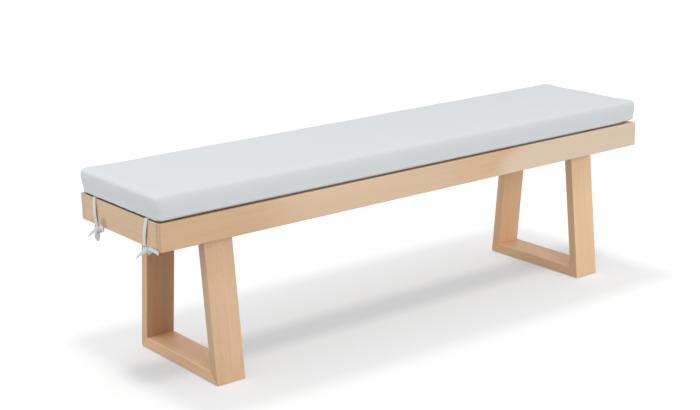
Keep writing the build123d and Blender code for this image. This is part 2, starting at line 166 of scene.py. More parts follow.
class BenchCushionSettings(PropertyGroup):
    """The cushion's fabric, form and filling."""
    fabric: a_colour("Fabric", "Colour of the woven cover", (0.645, 0.675, 0.695))
    thread_pitch: a_length("Thread pitch", "Width of one thread of the weave", 0.7)
    corner_radius: a_length("Corner radius", "Roundness of the upright corners", 9)
    top_round: a_length("Top round", "Roundness of the top edge", 10)
    base_round: a_length("Base round", "Roundness of the bottom edge", 7)
    base_edge: a_length("Base edge", "How far the bottom edge is drawn out to a line", 3.6)
    rim_lift: a_length("Rim lift", "How far the rim of the base stands off the frame", 4.2)
    corner_lift: a_length("Corner lift", "How far the base stands off the frame at the left corners", 2.4)
    far_lift: a_length("Far lift", "How far the base stands off the frame at the right corners", 8.5)
    rim_run: a_length("Rim run", "Width of that lifted rim", 35)
    base_slant: a_length("Base slant", "How far the sides lean in from the widest line to the base", 2.5)
    corner_slant: a_length("Corner slant", "How far the left corners lean in to the base", 7)
    far_slant: a_length("Far slant", "How far the right corners lean in to the base", 3.5)
    widest: a_length("Widest line", "Height of the widest line above the base", 38)
    draw: a_length("Drawn-in sides", "How far the sides pull in between the corners", 3)
    flare: a_length("Flare", "Length over which a side flares out to its corner", 90)
    crown: a_length("Crown", "Rise of the top's middle above its edge", 1)
    crown_run: a_length("Crown run", "Distance from the edge over which the top rises", 110)
    swell: a_length("Swell", "How far the filling may push the cover out", 1.5)
    pressure: a_number("Pressure", "Push of the filling on the cover", 4.0)
    frames: IntProperty(name="Frames", description="Length of the cloth simulation", default=20, min=2)
    voxel: a_length("Mesh size", "Size of the cover's faces before they are divided", 7.6)
    seam_depth: a_length("Seam depth", "Depth of the crease along the end panels' seams", 1.6)
    seam_width: a_length("Seam width", "Half the width of that crease", 4.5)
    stitch_pitch: a_length("Stitch pitch", "Distance from one stitch to the next", 5)
    stitch_length: a_length("Stitch length", "Length of a stitch", 3.6)
    stitch_thickness: a_length("Stitch thickness", "Thickness of the thread", 0.7)


class BenchTieSettings(PropertyGroup):
    """The tapes that hold the cushion."""
    tape: a_colour("Tape", "Colour of the cotton tape", (0.74, 0.745, 0.73))
    width: a_length("Tape width", "Width of the tape", 12)
    thickness: a_length("Tape thickness", "Thickness of the tape", 1.1)
    gap: a_length("Tape gap", "Room between the tape and the rail", 0.3)
    slack: a_length("Slack", "How far the hanging tape stands off the rail", 2.4)


class BenchZipSettings(PropertyGroup):
    """The zip on the cushion's back edge."""
    tape: a_colour("Zip tape", "Colour of the zip's cloth", (0.62, 0.65, 0.68))
    tooth_pitch: a_length("Tooth pitch", "Distance from one tooth to the next in a row", 2.5)
    slit: a_length("Slit", "Gap between the two halves of the zip's cloth", 0.8)
    welt_height: a_length("Welt height", "Height of the folded fabric beside the zip", 6)
    welt_thickness: a_length("Welt thickness", "Thickness of that fold", 1.4)


class BenchStageSettings(PropertyGroup):
    """The studio: camera, lamps and floor."""
    camera_place: a_place("Camera place", "Where the camera stands", (-2.2202, -2.7052, 1.2551))
    camera_yaw: an_angle("Camera yaw", "Turn of the view to the right of straight ahead", 38.02)
    camera_pitch: an_angle("Camera pitch", "Tilt of the view below the horizon", 15.665)
    camera_roll: an_angle("Camera roll", "Tilt of the horizon", -0.87)
    lens: FloatProperty(name="Lens", description="Focal length in millimetres", default=73.83, min=1)
    ambient: a_number("Ambient", "Light from all round", 0.60)
    overhead: a_number("Overhead", "Strength of each of the two lamps above", 0.50)
    key: a_number("Key", "Power of the lamp in front, in watts", 30)
    back: a_number("Back", "Power of the lamp behind the left end, in watts", 26)
    fill: a_number("Fill", "Power of the lamp in front of the right end, in watts", 17)
    floor_tone: a_colour(
        "Floor tone", "What the floor gives back of the light to the bench", (0.70, 0.72, 0.74))
    floor_white: a_colour("Floor white", "Colour in which the camera sees the floor", (1.0, 0.94, 0.90))
    floor_glow: a_colour(
        "Floor glow", "Light that the camera sees on the floor besides the lamps'", (0.150, 0.220, 0.265))


# Small helpers


def deselect():
    """Leaves edit mode and deselects everything."""
    if bpy.context.mode != "OBJECT":
        bpy.ops.object.mode_set(mode="OBJECT")
    bpy.ops.object.select_all(action="DESELECT")


def activate(piece):
    """Makes one piece the only selected and active one."""
    deselect()
    piece.select_set(True)
    bpy.context.view_layer.objects.active = piece


def new_piece(name):
    """Names the primitive that was just added."""
    piece = bpy.context.active_object
    piece.name = name
    piece.data.name = name
    return piece


def settle(piece):
    """Puts a piece's place, turn and scale into its mesh."""
    activate(piece)
    bpy.ops.object.transform_apply(location=True, rotation=True, scale=True)


def new_box(name, size, centre):
    """A plain box of a size round a centre."""
    deselect()
    bpy.ops.mesh.primitive_cube_add(size=1, location=centre)
    box = new_piece(name)
    box.scale = size
    settle(box)
    return box


def join(pieces):
    """Joins pieces into the first of them."""
    deselect()
    for piece in pieces:
        piece.select_set(True)
    bpy.context.view_layer.objects.active = pieces[0]
    bpy.ops.object.join()
    return pieces[0]


def finish_with(piece, kind, **values):
    """Adds a modifier, sets its values and applies it."""
    activate(piece)
    modifier = piece.modifiers.new(kind.title(), kind)
    for key, value in values.items():
        setattr(modifier, key, value)
    bpy.ops.object.modifier_apply(modifier=modifier.name)


def dress(piece, material):
    """Gives a piece one material."""
    piece.data.materials.clear()
    piece.data.materials.append(material)


def smooth_step(value):
    """A smooth rise from 0 to 1 over values from 0 to 1."""
    value = min(1.0, max(0.0, value))
    return value * value * (3 - 2 * value)


def fade(value, limit, run):
    """1 for values that lie a run or more under a limit, falling smoothly to 0 at the limit."""
    return smooth_step((limit - value) / run)


def shaded(colour, share):
    """A colour times a share, no brighter than white."""
    return tuple(min(1.0, share * part) for part in colour)


def select_edges(piece, wanted):
    """In edit mode, selects just the edges that a test picks."""
    mesh = bmesh.from_edit_mesh(piece.data)
    for face in mesh.faces:
        face.select = False
    for edge in mesh.edges:
        edge.select = wanted(edge)
    bmesh.update_edit_mesh(piece.data)


# Materials


class Nodes:
    """A node tree in the making: its methods add nodes and give back their outputs."""

    def __init__(self, tree):
        self.tree = tree
        tree.nodes.clear()

    def feed(self, socket, value):
        """Links an output to an input, or sets the input's value."""
        if isinstance(value, bpy.types.NodeSocket):
            self.tree.links.new(value, socket)
        elif socket.type == "RGBA":
            socket.default_value = (*value, 1.0)
        else:
            socket.default_value = value

    def add(self, kind, inputs=None, **values):
        """A new node with its settings, and its inputs set or linked."""
        node = self.tree.nodes.new(kind)
        for key, value in values.items():
            setattr(node, key, value)
        for key, value in (inputs or {}).items():
            self.feed(node.inputs[key], value)
        return node

    def calc(self, operation, first, second=0.0, clamp=False):
        """The output of a Math node."""
        node = self.add("ShaderNodeMath", {0: first, 1: second}, operation=operation, use_clamp=clamp)
        return node.outputs[0]

    def times(self, first, second):
        """A product."""
        return self.calc("MULTIPLY", first, second)

    def plus(self, first, second):
        """A sum."""
        return self.calc("ADD", first, second)

    def minus(self, first, second):
        """A difference."""
        return self.calc("SUBTRACT", first, second)

    def size(self, value):
        """A value without its sign."""
        return self.calc("ABSOLUTE", value)

    def wave(self, value, pitch):
        """A sine wave with a pitch."""
        return self.calc("SINE", self.times(value, 2 * math.pi / pitch))

    def weigh(self, *pairs):
        """The sum of values times their weights, held between 0 and 1."""
        total = 0.0
        for value, weight in pairs:
            total = self.plus(total, self.times(value, weight))
        return self.calc("ADD", total, clamp=True)

    def ramp(self, value, low, high, start=0.0, end=1.0):
        """A value spread smoothly from one range onto another."""
        ends = {"From Min": low, "From Max": high, "To Min": start, "To Max": end}
        node = self.add("ShaderNodeMapRange", {"Value": value, **ends}, interpolation_type="SMOOTHSTEP")
        return node.outputs["Result"]

    def clouds(self, vector, cells, detail=2.0, roughness=0.5):
        """Noise whose cells are drawn out along the axes, in cells for each metre."""
        scaled = self.add("ShaderNodeVectorMath", {0: vector, 1: cells}, operation="MULTIPLY").outputs[0]
        node = self.add("ShaderNodeTexNoise", {
            "Vector": scaled, "Scale": 1.0, "Detail": detail, "Roughness": roughness})
        return node.outputs["Fac"]

    def pick(self, share, first, second):
        """Two values mixed by a share."""
        return self.add("ShaderNodeMix", {0: share, 2: first, 3: second}).outputs[0]

    def blend(self, share, first, second, mode="MIX"):
        """Two colours mixed by a share."""
        node = self.add("ShaderNodeMix", {0: share, 6: first, 7: second}, data_type="RGBA", blend_type=mode)
        return node.outputs[2]

    def parts(self, vector):
        """The X, Y and Z of a vector."""
        return tuple(self.add("ShaderNodeSeparateXYZ", {0: vector}).outputs)

    def place(self):
        """The piece's own coordinates, in metres."""
        return self.add("ShaderNodeTexCoord").outputs["Object"]

    def normal(self):
        """The direction in which the surface looks."""
        return self.add("ShaderNodeNewGeometry").outputs["Normal"]

    def seen(self):
        """1 for rays that the camera, a reflection or glass follows, and 0 for the light itself."""
        path = self.add("ShaderNodeLightPath").outputs
        seen = self.calc("MAXIMUM", path["Is Camera Ray"], path["Is Glossy Ray"])
        return self.calc("MAXIMUM", seen, path["Is Transmission Ray"])


class Surface(Nodes):
    """A material in the making, with its shader."""

    def __init__(self, name):
        self.material = bpy.data.materials.new(name)
        self.material.use_nodes = True
        super().__init__(self.material.node_tree)
        self.shader = self.add("ShaderNodeBsdfPrincipled")
        self.add("ShaderNodeOutputMaterial", {"Surface": self.shader.outputs[0]})

    def finish(self, inputs):
        """Sets or links inputs of the shader."""
        for key, value in inputs.items():
            self.feed(self.shader.inputs[key], value)

    def colour(self):
        """The colour so far."""
        return self.shader.inputs["Base Color"].links[0].from_socket

    def tint(self, share, tone, mode="MULTIPLY"):
        """Mixes a tone into the colour so far, where a share says so."""
        self.finish({"Base Color": self.blend(share, self.colour(), tone, mode)})

    def bump(self, height, strength, distance):
        """Roughens the surface by a height."""
        node = self.add("ShaderNodeBump", {"Height": height, "Strength": strength, "Distance": distance})
        self.finish({"Normal": node.outputs[0]})


# Wood

# Where each board is cut from the log: steps along it, and off its heart both ways
LOG_STEP = 0.731
HEART_Y, HEART_Y_STEP, HEART_Y_CUTS = 0.057, 0.019, 5
HEART_Z, HEART_Z_STEP, HEART_Z_CUTS = 0.083, 0.023, 3

# How the growth rings wander: cells for each metre along and across the grain, and their reach
WANDER_CELLS, WANDER_REACH = (1.3, 9.0, 9.0), 30 * MM

# Marks in the wood: cells for each metre along and across the grain, and how strongly they show
PATCH_CELLS, PATCH_SHARE = (1.6, 14.0, 14.0), 0.34
STREAK_CELLS, STREAK_SHARE = (3.0, 95.0, 95.0), 0.15
FIBRE_CELLS, FIBRE_SHARE = (16.0, 420.0, 420.0), 0.14
PORE_CELLS, PORE_SHARE = (75.0, 1500.0, 1500.0), 0.30
RING_SHARE = 0.11

# The front rail's tones: where along it each comes in or goes out, in metres, and how strongly it shows.
# The lightened one's place is counted from its own start.
DEEP_IN = (-0.30, -0.58)
PALED_IN, PALED_OUT, PALED_SHARE = (-0.55, -0.32), (0.24, -0.05), 0.35
LIGHTENED_IN, LIGHTENED_SHARE, GRAIN_KEPT = (0.02, 0.11), 0.92, 0.22
RAGGED_CELLS, RAGGED_REACH = (9.0, 30.0, 60.0), 0.10
LIGHTENED_SLANT = 1.1

# The small dark spot: its ragged edge, its rings and where it fades. The reaches are shares of its radius.
SPOT_EDGE_CELLS, SPOT_EDGE_REACH = (180.0, 180.0, 180.0), 0.5
SPOT_RINGS, SPOT_RING_SHARE = 22.0, 0.08
SPOT_FADE, SPOT_SHARE = (1.15, 0.30), 0.60

# How squarely a face looks along an axis to count as turned that way, from not at all to wholly
SQUARE = (0.70, 0.90)


def wood_surface(name, settings, turn, board):
    """Pale close-grained wood along the turned X axis, with another cut of the log for each board."""
    wood = Surface(f"wood_{name}")
    shift = Vector((
        LOG_STEP * board, HEART_Y + HEART_Y_STEP * (board % HEART_Y_CUTS),
        HEART_Z + HEART_Z_STEP * (board % HEART_Z_CUTS)))
    laid = wood.add("ShaderNodeMapping", {
        "Vector": wood.place(), "Location": shift, "Rotation": turn}).outputs[0]
    _, across, up = wood.parts(laid)
    radius = wood.calc("SQRT", wood.plus(wood.calc("POWER", across, 2.0), wood.calc("POWER", up, 2.0)))
    radius = wood.plus(radius, wood.times(wood.clouds(laid, WANDER_CELLS), WANDER_REACH))
    ring = wood.calc("FRACT", wood.calc("DIVIDE", radius, settings.ring_pitch))
    late = wood.times(wood.ramp(ring, 0.30, 0.86), wood.ramp(ring, 1.0, 0.90))
    patches = wood.clouds(laid, PATCH_CELLS, detail=3.0)
    fibres = wood.clouds(laid, FIBRE_CELLS, detail=4.0, roughness=0.62)
    pores = wood.ramp(wood.clouds(laid, PORE_CELLS, detail=1.0), 0.64, 0.74)
    streaks = wood.clouds(laid, STREAK_CELLS, detail=3.0)
    tone = wood.weigh(
        (late, RING_SHARE), (wood.ramp(patches, 0.30, 0.72), PATCH_SHARE),
        (wood.ramp(streaks, 0.42, 0.72), STREAK_SHARE), (wood.ramp(fibres, 0.35, 0.70), FIBRE_SHARE))
    # The board's tone, with painted light or painted shade on some boards
    own = BOARD_TONES_AND_LIGHT.get(name, PLAIN_TONE)
    light = tuple(share * part for share, part in zip(own, settings.light_tone))
    dark = tuple(share * part for share, part in zip(own, settings.dark_tone))
    wood.finish({
        "Base Color": wood.blend(tone, light, dark),
        "Roughness": wood.ramp(fibres, 0.25, 0.75, 0.40, 0.56),
        "Coat Weight": 0.12, "Coat Roughness": 0.32})
    wood.tint(wood.times(pores, PORE_SHARE), shaded(settings.dark_tone, 0.45), "MIX")
    looking = wood.add("ShaderNodeMapping", {"Vector": wood.normal(), "Rotation": turn}, vector_type="VECTOR")
    wood.tint(wood.ramp(wood.size(wood.parts(looking.outputs[0])[0]), *SQUARE), settings.end_tone)
    wood.bump(wood.minus(fibres, wood.times(pores, 0.8)), 0.12, 0.25 * MM)
    return wood


def add_dark_spot(wood, settings):
    """Darkens the wood round one small spot to dark brown, with a ragged edge and rings inside it."""
    centred = wood.add("ShaderNodeVectorMath", {
        0: wood.place(), 1: settings.spot_place}, operation="SUBTRACT").outputs[0]
    ragged = wood.clouds(centred, SPOT_EDGE_CELLS, detail=3.0)
    reach = wood.add("ShaderNodeVectorMath", {0: centred}, operation="LENGTH").outputs["Value"]
    reach = wood.calc("DIVIDE", reach, settings.spot_radius)
    reach = wood.plus(reach, wood.times(wood.minus(ragged, 0.5), SPOT_EDGE_REACH))
    rings = wood.times(wood.calc("SINE", wood.times(reach, SPOT_RINGS)), SPOT_RING_SHARE)
    share = wood.times(wood.ramp(reach, *SPOT_FADE), wood.plus(SPOT_SHARE, rings))
    wood.tint(share, settings.spot_tone, "MIX")


def tone_front_rail(wood, settings):
    """Tones a rail along its length: deep at the left end, then paler, and paler and less saturated still
    past a slanting line.
    """
    place = wood.place()
    along, _, up = wood.parts(place)
    ragged = wood.clouds(place, RAGGED_CELLS, detail=3.0)
    ragged = wood.times(wood.minus(ragged, 0.5), RAGGED_REACH)
    slant = wood.times(wood.minus(up, frame_top), LIGHTENED_SLANT)
    run = wood.plus(wood.minus(wood.minus(along, slant), settings.pale_start), ragged)
    lightened = wood.times(wood.ramp(run, *LIGHTENED_IN), LIGHTENED_SHARE)
    paled = wood.times(wood.ramp(along, *PALED_IN), wood.ramp(along, *PALED_OUT))
    plain = wood.colour()
    wood.tint(wood.ramp(wood.plus(along, ragged), *DEEP_IN), settings.deep_tone)
    wood.tint(wood.times(paled, PALED_SHARE), settings.pale_tone, "MIX")
    wood.tint(lightened, wood.blend(GRAIN_KEPT, settings.pale_tone, plain), "MIX")


def paint_side_shade(wood, settings):
    """Paints shade on the narrow faces of a board of the legs, which look along the bench and lie under the
    seat's overhang.
    """
    wood.tint(wood.ramp(wood.size(wood.parts(wood.normal())[0]), *SQUARE), settings.side_shade_tone)


def paint_inner_shade(wood, settings):
    """Paints shade on the face of a back leg that looks to the front leg, where the front leg and the seat
    shade it.
    """
    wood.tint(wood.ramp(wood.minus(0.0, wood.parts(wood.normal())[1]), *SQUARE), settings.inner_shade_tone)


def paint_cushion_shadow(wood, settings):
    """Paints the cushion's contact shadow on the top of a board under it, short of the right end, where the
    cushion stands off.
    """
    along, across, _ = wood.parts(wood.place())
    reach = wood.minus(along, cover_low.x)
    from_right = wood.minus(cover_high.x - settings.unshadowed_end, along)
    for other in (from_right, wood.minus(across, cover_low.y), wood.minus(cover_high.y, across)):
        reach = wood.calc("MINIMUM", reach, other)
    on_top = wood.ramp(wood.parts(wood.normal())[2], 0.80, 0.95)
    wood.tint(wood.times(wood.ramp(reach, 0.0, 5 * MM), on_top), settings.cushion_shadow_tone)


class BENCH_OT_finish_wood(Operator):
    """Gives every board its own cut of the pale wood"""
    bl_idname = "bench.finish_wood"
    bl_label = "Finish the wood"

    def execute(self, context):
        settings = context.scene.bench_wood
        ways = (
            (LENGTHWISE, (0.0, 0.0, 0.0)),
            (CROSSWISE, (0.0, 0.0, -QUARTER)),
            (FRONT_LEGS, (settings.leg_lean, QUARTER, 0.0)),
            (BACK_LEGS, (-settings.leg_lean, QUARTER, 0.0)),
            (UPRIGHT, (0.0, QUARTER, 0.0)),
        )
        # Marks on some boards: a dark spot, the front rail's tones, painted shade on leg sides, on a back
        # leg's inner face and under the cushion
        marks = (
            (("left_end_rail",), add_dark_spot),
            (("front_rail",), tone_front_rail),
            (SIDE_SHADED, paint_side_shade),
            (("left_back_leg",), paint_inner_shade),
            (CUSHION_SHADOWED, paint_cushion_shadow),
        )
        boards = [(name, turn) for names, turn in ways for name in names]
        for board, (name, turn) in enumerate(boards):
            wood = wood_surface(name, settings, turn, board)
            for names, mark in marks:
                if name in names:
                    mark(wood, settings)
            dress(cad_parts[name], wood.material)
        return {"FINISHED"}


# Hardware


def metal_material(name, colour, roughness, spread):
    """Metal with fine scratches and uneven polish."""
    metal = Surface(name)
    place = metal.place()
    scratches = metal.clouds(place, (900.0, 900.0, 6000.0))
    cloud = metal.clouds(place, (140.0, 140.0, 140.0))
    metal.finish({
        "Base Color": metal.blend(cloud, colour, shaded(colour, 0.82)),
        "Roughness": metal.ramp(scratches, 0.25, 0.75, roughness - spread, roughness + spread),
        "Metallic": 1.0})
    metal.bump(scratches, 0.05, 0.05 * MM)
    return metal.material


def moulded_surface(name, cells, colours, roughness):
    """Moulded plastic whose fine grain runs between two colours and two roughnesses."""
    plastic = Surface(name)
    grain = plastic.clouds(plastic.place(), (cells, cells, cells))
    plastic.finish({
        "Base Color": plastic.blend(grain, *colours),
        "Roughness": plastic.ramp(grain, 0.3, 0.7, *roughness)})
    return plastic, grain


def nylon_material():
    """Dark grey moulded nylon with a fine grain."""
    colours = ((0.045, 0.043, 0.04), (0.07, 0.067, 0.062))
    nylon, grain = moulded_surface("glide_nylon", 1200.0, colours, (0.45, 0.62))
    nylon.bump(grain, 0.15, 0.1 * MM)
    return nylon.material


class BENCH_OT_finish_hardware(Operator):
    """Gives the bolts, screws, inserts, glides and zip metal their finish"""
    bl_idname = "bench.finish_hardware"
    bl_label = "Finish the hardware"

    def execute(self, context):
        steel = metal_material("stainless_steel", (0.60, 0.60, 0.58), 0.32, 0.08)
        brass = metal_material("turned_brass", (0.72, 0.52, 0.24), 0.35, 0.08)
        zip_metal = metal_material("zip_metal", (0.66, 0.66, 0.67), 0.28, 0.06)
        groups = (
            (STEEL, steel, "stainless_steel"),
            (("threaded_inserts",), brass, "brass"),
            (ZIP_METAL, zip_metal, "zip_metal"),
            (GLIDES, nylon_material(), "glide_nylon"),
        )
        for names, material, slot in groups:
            for name in names:
                dress(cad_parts[name], material)
        return {"FINISHED"}


# Cushion

# Creases beside the seams: how far in from the cushion's edges they reach and over what run they fade
SEAM_REACH, SEAM_RUN = 40 * MM, 18 * MM
TOP_SEAM_REACH, TOP_SEAM_RUN, TOP_SEAM_SHARE = 20 * MM, 8 * MM, 0.45
WALL_INSET, WALL_RUN = 2 * MM, 10 * MM
PUCKER_REACH, PUCKER_RUN = 30 * MM, 24 * MM

# Puckers and ripples: their depth, and cells for each metre
PUCKER_DEPTH, PUCKER_CELLS = 0.5 * MM, Vector((60, 60, 90))
RIPPLE_DEPTH, RIPPLE_CELLS = 0.7 * MM, Vector((9, 14, 14))

# The flat strip behind the zip: its room past the zip's ends, the run over which it fades and its gap
STRIP_ROOM, STRIP_RUN, STRIP_GAP = 12 * MM, 10 * MM, 0.3 * MM


def fabric_material(settings):
    """Plain-woven outdoor fabric: threads laid over each panel, with slubs, soft mottling and faint sheen."""
    fabric = Surface("cushion_fabric")
    place = fabric.place()
    x, y, z = fabric.parts(place)
    normal_x, _, normal_z = fabric.parts(fabric.normal())
    on_end = fabric.calc("GREATER_THAN", fabric.size(normal_x), 0.72)
    upright = fabric.calc("LESS_THAN", fabric.size(normal_z), 0.70)
    along = fabric.pick(on_end, x, y)
    across = fabric.pick(upright, y, z)
    warp = fabric.wave(along, 2 * settings.thread_pitch)
    weft = fabric.wave(across, 2 * settings.thread_pitch)
    over = fabric.calc("GREATER_THAN", fabric.times(warp, weft), 0.0)
    height = fabric.pick(over, fabric.size(warp), fabric.size(weft))
    cloth = fabric.add("ShaderNodeCombineXYZ", {0: along, 1: across}).outputs[0]
    warp_slubs = fabric.clouds(cloth, (900.0, 14.0, 1.0))
    weft_slubs = fabric.clouds(cloth, (14.0, 900.0, 1.0))
    mottle = fabric.clouds(place, (7.0, 7.0, 7.0), detail=3.0)
    shade = fabric.weigh(
        (warp_slubs, 0.30), (weft_slubs, 0.30), (mottle, 0.28), (fabric.minus(1.0, height), 0.20))
    fabric.finish({
        "Base Color": fabric.blend(shade, shaded(settings.fabric, 1.035), shaded(settings.fabric, 0.955)),
        "Roughness": fabric.ramp(height, 0.0, 1.0, 0.93, 0.80),
        "Sheen Weight": 0.12, "Sheen Roughness": 0.45, "Specular IOR Level": 0.25})
    fabric.bump(height, 0.20, 0.15 * MM)
    return fabric.material


def cushion_block(settings):
    """The cushion before it is filled: a box with rounded upright corners, top edge and base edge."""
    size = cover_high - cover_low - Vector((2, 2, 2)) * settings.swell
    size.z -= settings.crown
    middle = cover_low.z + settings.swell + size.z / 2
    block = new_box("seat_cushion", size, (cover_middle.x, cover_middle.y, middle))
    bpy.ops.object.mode_set(mode="EDIT")
    bpy.ops.mesh.select_mode(type="EDGE")
    select_edges(block, lambda edge: abs(edge.verts[0].co.z - edge.verts[1].co.z) > size.z / 2)
    bpy.ops.mesh.bevel(offset=settings.corner_radius, segments=6, affect="EDGES")
    for above, offset in ((1, settings.top_round), (-1, settings.base_round)):
        select_edges(block, lambda edge: all((v.co.z - middle) * above > size.z * 0.49 for v in edge.verts))
        bpy.ops.mesh.bevel(offset=offset, segments=5, affect="EDGES")
    bpy.ops.object.mode_set(mode="OBJECT")
    return block


def from_edges(place):
    """How far in a point lies from the cushion's nearer end and from its nearer side."""
    return cover_half.x - abs(place.x), cover_half.y - abs(place.y)


def shape_block(block, settings):
    """Leans the sides in to the base, draws them in between the corners and crowns the top."""
    for vertex in block.data.vertices:
        place = vertex.co - base_middle
        edge_x, edge_y = from_edges(place)
        near = 1 - smooth_step(max(edge_x, edge_y) / settings.flare)
        corner = settings.corner_slant if place.x < 0 else settings.far_slant
        slant = settings.base_slant + (corner - settings.base_slant) * near
        lean = slant * max(0.0, 1 - place.z / settings.widest)
        draw_x = settings.draw * smooth_step(edge_y / settings.flare)
        draw_y = settings.draw * smooth_step(edge_x / settings.flare)
        rise = settings.crown
        for edge in (edge_x, edge_y):
            rise *= 1 - (1 - min(1.0, max(0.0, edge / settings.crown_run))) ** 2
        vertex.co.x -= place.x / cover_half.x * (lean + draw_x)
        vertex.co.y -= place.y / cover_half.y * (lean + draw_y)
        if place.z > cover_height / 2:
            vertex.co.z += rise


# The cover as a cloth
CLOTH = {
    "quality": 4, "mass": 0.3, "tension_stiffness": 15, "compression_stiffness": 15, "shear_stiffness": 5,
    "bending_stiffness": 2, "use_pressure": True,
}


def fill_cushion(cushion, settings):
    """Swells the cover by cloth simulation under inner pressure, no further than the swell."""
    start = [vertex.co.copy() for vertex in cushion.data.vertices]
    base = cushion.vertex_groups.new(name="resting")
    low = min(co.z for co in start)
    base.add([i for i, co in enumerate(start) if co.z < low + MM], 1.0, "REPLACE")
    modifier = cushion.modifiers.new("Cloth", "CLOTH")
    cloth = modifier.settings
    for key, value in CLOTH.items():
        setattr(cloth, key, value)
    cloth.vertex_group_mass = base.name
    cloth.uniform_pressure_force = settings.pressure
    cloth.effector_weights.gravity = 0
    modifier.collision_settings.use_collision = False
    scene = bpy.context.scene
    for number in range(1, settings.frames + 1):
        scene.frame_set(number)
    filled = cushion.evaluated_get(bpy.context.evaluated_depsgraph_get()).to_mesh()
    ends = [vertex.co.copy() for vertex in filled.vertices]
    cushion.modifiers.remove(modifier)
    scene.frame_set(1)
    for vertex, old, new in zip(cushion.data.vertices, start, ends):
        move = new - old
        if move.length > settings.swell:
            move *= settings.swell / move.length
        vertex.co = old + move
    cushion.vertex_groups.clear()


def fit_to_cover(cushion):
    """Stretches the cushion evenly to the size that its cover has in the frame."""
    spots = [vertex.co for vertex in cushion.data.vertices]
    low = Vector([min(spot[axis] for spot in spots) for axis in range(3)])
    high = Vector([max(spot[axis] for spot in spots) for axis in range(3)])
    for vertex in cushion.data.vertices:
        for axis in range(3):
            share = (vertex.co[axis] - low[axis]) / (high[axis] - low[axis])
            vertex.co[axis] = cover_low[axis] + share * (cover_high[axis] - cover_low[axis])


def seam_sink(place, normal, settings):
    """How deep a point lies in the creases, puckers and ripples of the cover; its base edge is drawn out."""
    edge_x, edge_y = from_edges(place)
    aside = (edge_x - edge_y) / math.sqrt(2)
    on_wall = fade(place.z, cover_height - WALL_INSET, WALL_RUN) * smooth_step(1 - abs(normal.z))
    close = fade(max(edge_x, edge_y), SEAM_REACH, SEAM_RUN)
    sink = settings.seam_depth * math.exp(-(aside / settings.seam_width) ** 2) * on_wall * close
    above = (edge_x - (cover_height - place.z)) / math.sqrt(2)
    on_top = fade(edge_x, TOP_SEAM_REACH, TOP_SEAM_RUN) * smooth_step((place.z / cover_height - 0.6) / 0.2)
    sink += TOP_SEAM_SHARE * settings.seam_depth * math.exp(-(above / settings.seam_width) ** 2) * on_top
    sink += PUCKER_DEPTH * noise.noise(place * PUCKER_CELLS) * fade(edge_x, PUCKER_REACH, PUCKER_RUN)
    sink += RIPPLE_DEPTH * noise.noise(place * RIPPLE_CELLS)
    under = max(0.0, -normal.z)
    return sink - settings.base_edge * 4 * under ** 2 * (1 - under ** 2)


def rim_rise(place, settings):
    """How far the base's rim stands off the frame at a point: less or more at the corners."""
    edge_x, edge_y = from_edges(place)
    rim = fade(min(edge_x, edge_y), settings.rim_run, settings.rim_run)
    rim *= max(0.0, 1 - 2 * place.z / cover_height)
    corner = settings.corner_lift if place.x < 0 else settings.far_lift
    return rim * (corner + (settings.rim_lift - corner) * smooth_step(max(edge_x, edge_y) / settings.flare))


def crease_seams(cushion, settings):
    """Sinks the end panels' seams, lifts the base's rim and flattens the strip behind the zip."""
    zip_low, zip_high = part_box("zip_tape")
    limit = zip_low.y - STRIP_GAP
    vertices = cushion.data.vertices
    normals = [vertex.normal.copy() for vertex in vertices]
    for vertex, normal in zip(vertices, normals):
        place = vertex.co - base_middle
        vertex.co -= normal * seam_sink(place, normal, settings)
        vertex.co.z = max(vertex.co.z, cover_low.z) + rim_rise(place, settings)
        beside = fade(abs(vertex.co.x), zip_high.x + STRIP_ROOM, STRIP_RUN)
        level = fade(abs(vertex.co.z - (zip_low.z + zip_high.z) / 2), zip_high.z - zip_low.z, STRIP_RUN)
        if vertex.co.y > limit:
            vertex.co.y += (limit - vertex.co.y) * beside * level


class BENCH_OT_make_cushion(Operator):
    """Models the filled seat cushion and its woven cover"""
    bl_idname = "bench.make_cushion"
    bl_label = "Make the cushion"

    def execute(self, context):
        settings = context.scene.bench_cushion
        cushion = cushion_block(settings)
        cushion.data.remesh_voxel_size = settings.voxel
        bpy.ops.object.voxel_remesh()
        shape_block(cushion, settings)
        finish_with(cushion, "SMOOTH", factor=0.5, iterations=3)
        fill_cushion(cushion, settings)
        finish_with(cushion, "SUBSURF", levels=1, render_levels=1)
        fit_to_cover(cushion)
        crease_seams(cushion, settings)
        activate(cushion)
        bpy.ops.object.shade_smooth()
        dress(cushion, fabric_material(settings))
        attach(cushion, BODY)
        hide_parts("cushion_cover", "foam_core")
        return {"FINISHED"}


# Ties


def tape_material(settings):
    """Cotton twill tape on its own map in metres: slanted ribs and a little fluff."""
    tape = Surface("tie_tape")
    along, across, _ = tape.parts(tape.add("ShaderNodeTexCoord").outputs["UV"])
    ribs = tape.plus(0.5, tape.times(tape.wave(tape.plus(along, across), 0.9 * MM), 0.5))
    fluff = tape.clouds(tape.place(), (700.0, 700.0, 700.0), detail=3.0)
    shade = tape.weigh((ribs, 0.5), (fluff, 0.5))
    tape.finish({
        "Base Color": tape.blend(shade, shaded(settings.tape, 0.86), settings.tape),
        "Roughness": tape.ramp(fluff, 0.2, 0.8, 0.80, 0.95),
        "Sheen Weight": 0.15, "Specular IOR Level": 0.2})
    tape.bump(shade, 0.35, 0.2 * MM)
    return tape.material


def along_path(points, share):
    """A point, or any tuple of numbers, on the smooth line through a list of them."""
    runs = len(points) - 1
    index = min(int(share * runs), runs - 1)
    t = share * runs - index
    before, start, end, after = [Vector(points[min(max(index + step, 0), runs)]) for step in (-1, 0, 1, 2)]
    bend = (2 * before - 5 * start + 4 * end - after) * t ** 2
    twist = (3 * start - before - 3 * end + after) * t ** 3
    return 0.5 * (2 * start + (end - before) * t + bend + twist)


